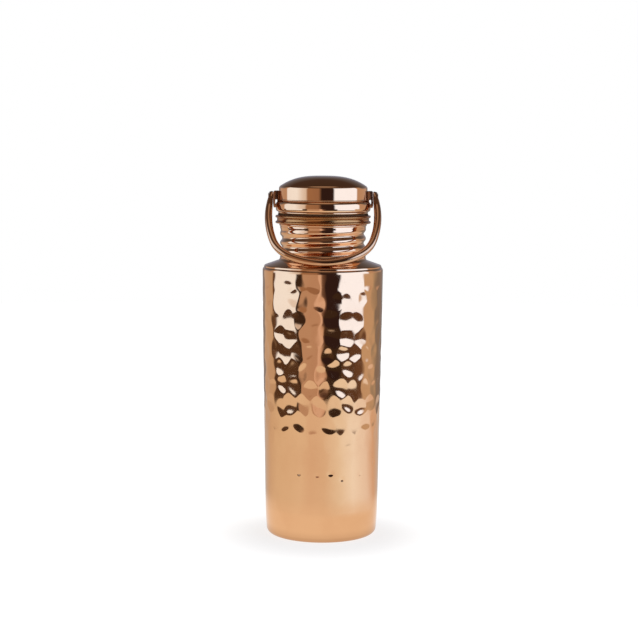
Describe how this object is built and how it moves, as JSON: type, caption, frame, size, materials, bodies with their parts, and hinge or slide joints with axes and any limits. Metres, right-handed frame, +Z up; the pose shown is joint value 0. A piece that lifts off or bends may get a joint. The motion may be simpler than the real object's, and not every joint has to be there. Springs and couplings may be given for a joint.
{
  "type": "water bottle",
  "caption": "Tapered hammered copper water bottle with a spun shoulder, a rolled screw neck, a domed screw lid and a swinging bail handle.",
  "frame": {"origin": "centre of the ring that the bottle stands on", "axes": "+Z up along the bottle's axis, -Y towards the side where the handle rests, X along the handle's pivots"},
  "size_m": [0.0762, 0.0762, 0.2279],
  "materials": {
    "hammered_copper": "hammered and polished",
    "polished_copper": "polished",
    "satin_copper": "satin, turned",
    "seal": "matt"
  },
  "bodies": {
    "bottle": {"body_shell": "hammered_copper", "base_plate": "polished_copper", "shoulder": "polished_copper", "neck_sleeve": "polished_copper", "mouth_collar": "satin_copper"},
    "seal": {"gasket": "seal"},
    "lid": {"lid_band": "polished_copper", "lid_dome": "polished_copper", "plug_sleeve": "polished_copper", "plug_floor": "polished_copper", "ear_left": "satin_copper", "ear_right": "satin_copper", "pivot_pin_left": "satin_copper", "pivot_pin_right": "satin_copper"},
    "handle": {"bail": "polished_copper"}
  },
  "joints": [
    {"name": "lid_lift", "type": "slide", "parent": "bottle", "child": "seal", "axis": [0, 0, 1], "range_m": [0, 0.0301]},
    {"name": "lid_turn", "type": "hinge", "parent": "seal", "child": "lid", "pos_m": [0, 0, 0.2042], "axis": [0, 0, 1], "range_deg": [0, 1800]},
    {"name": "bail_swing", "type": "hinge", "parent": "lid", "child": "handle", "pos_m": [0, 0, 0.2148], "axis": [-1, 0, 0], "range_deg": [0, 277.4]}
  ],
  "couplings": [
    {"joint": "lid_lift", "follows": "lid_turn", "m_per_rad": 0.00095493}
  ]
}
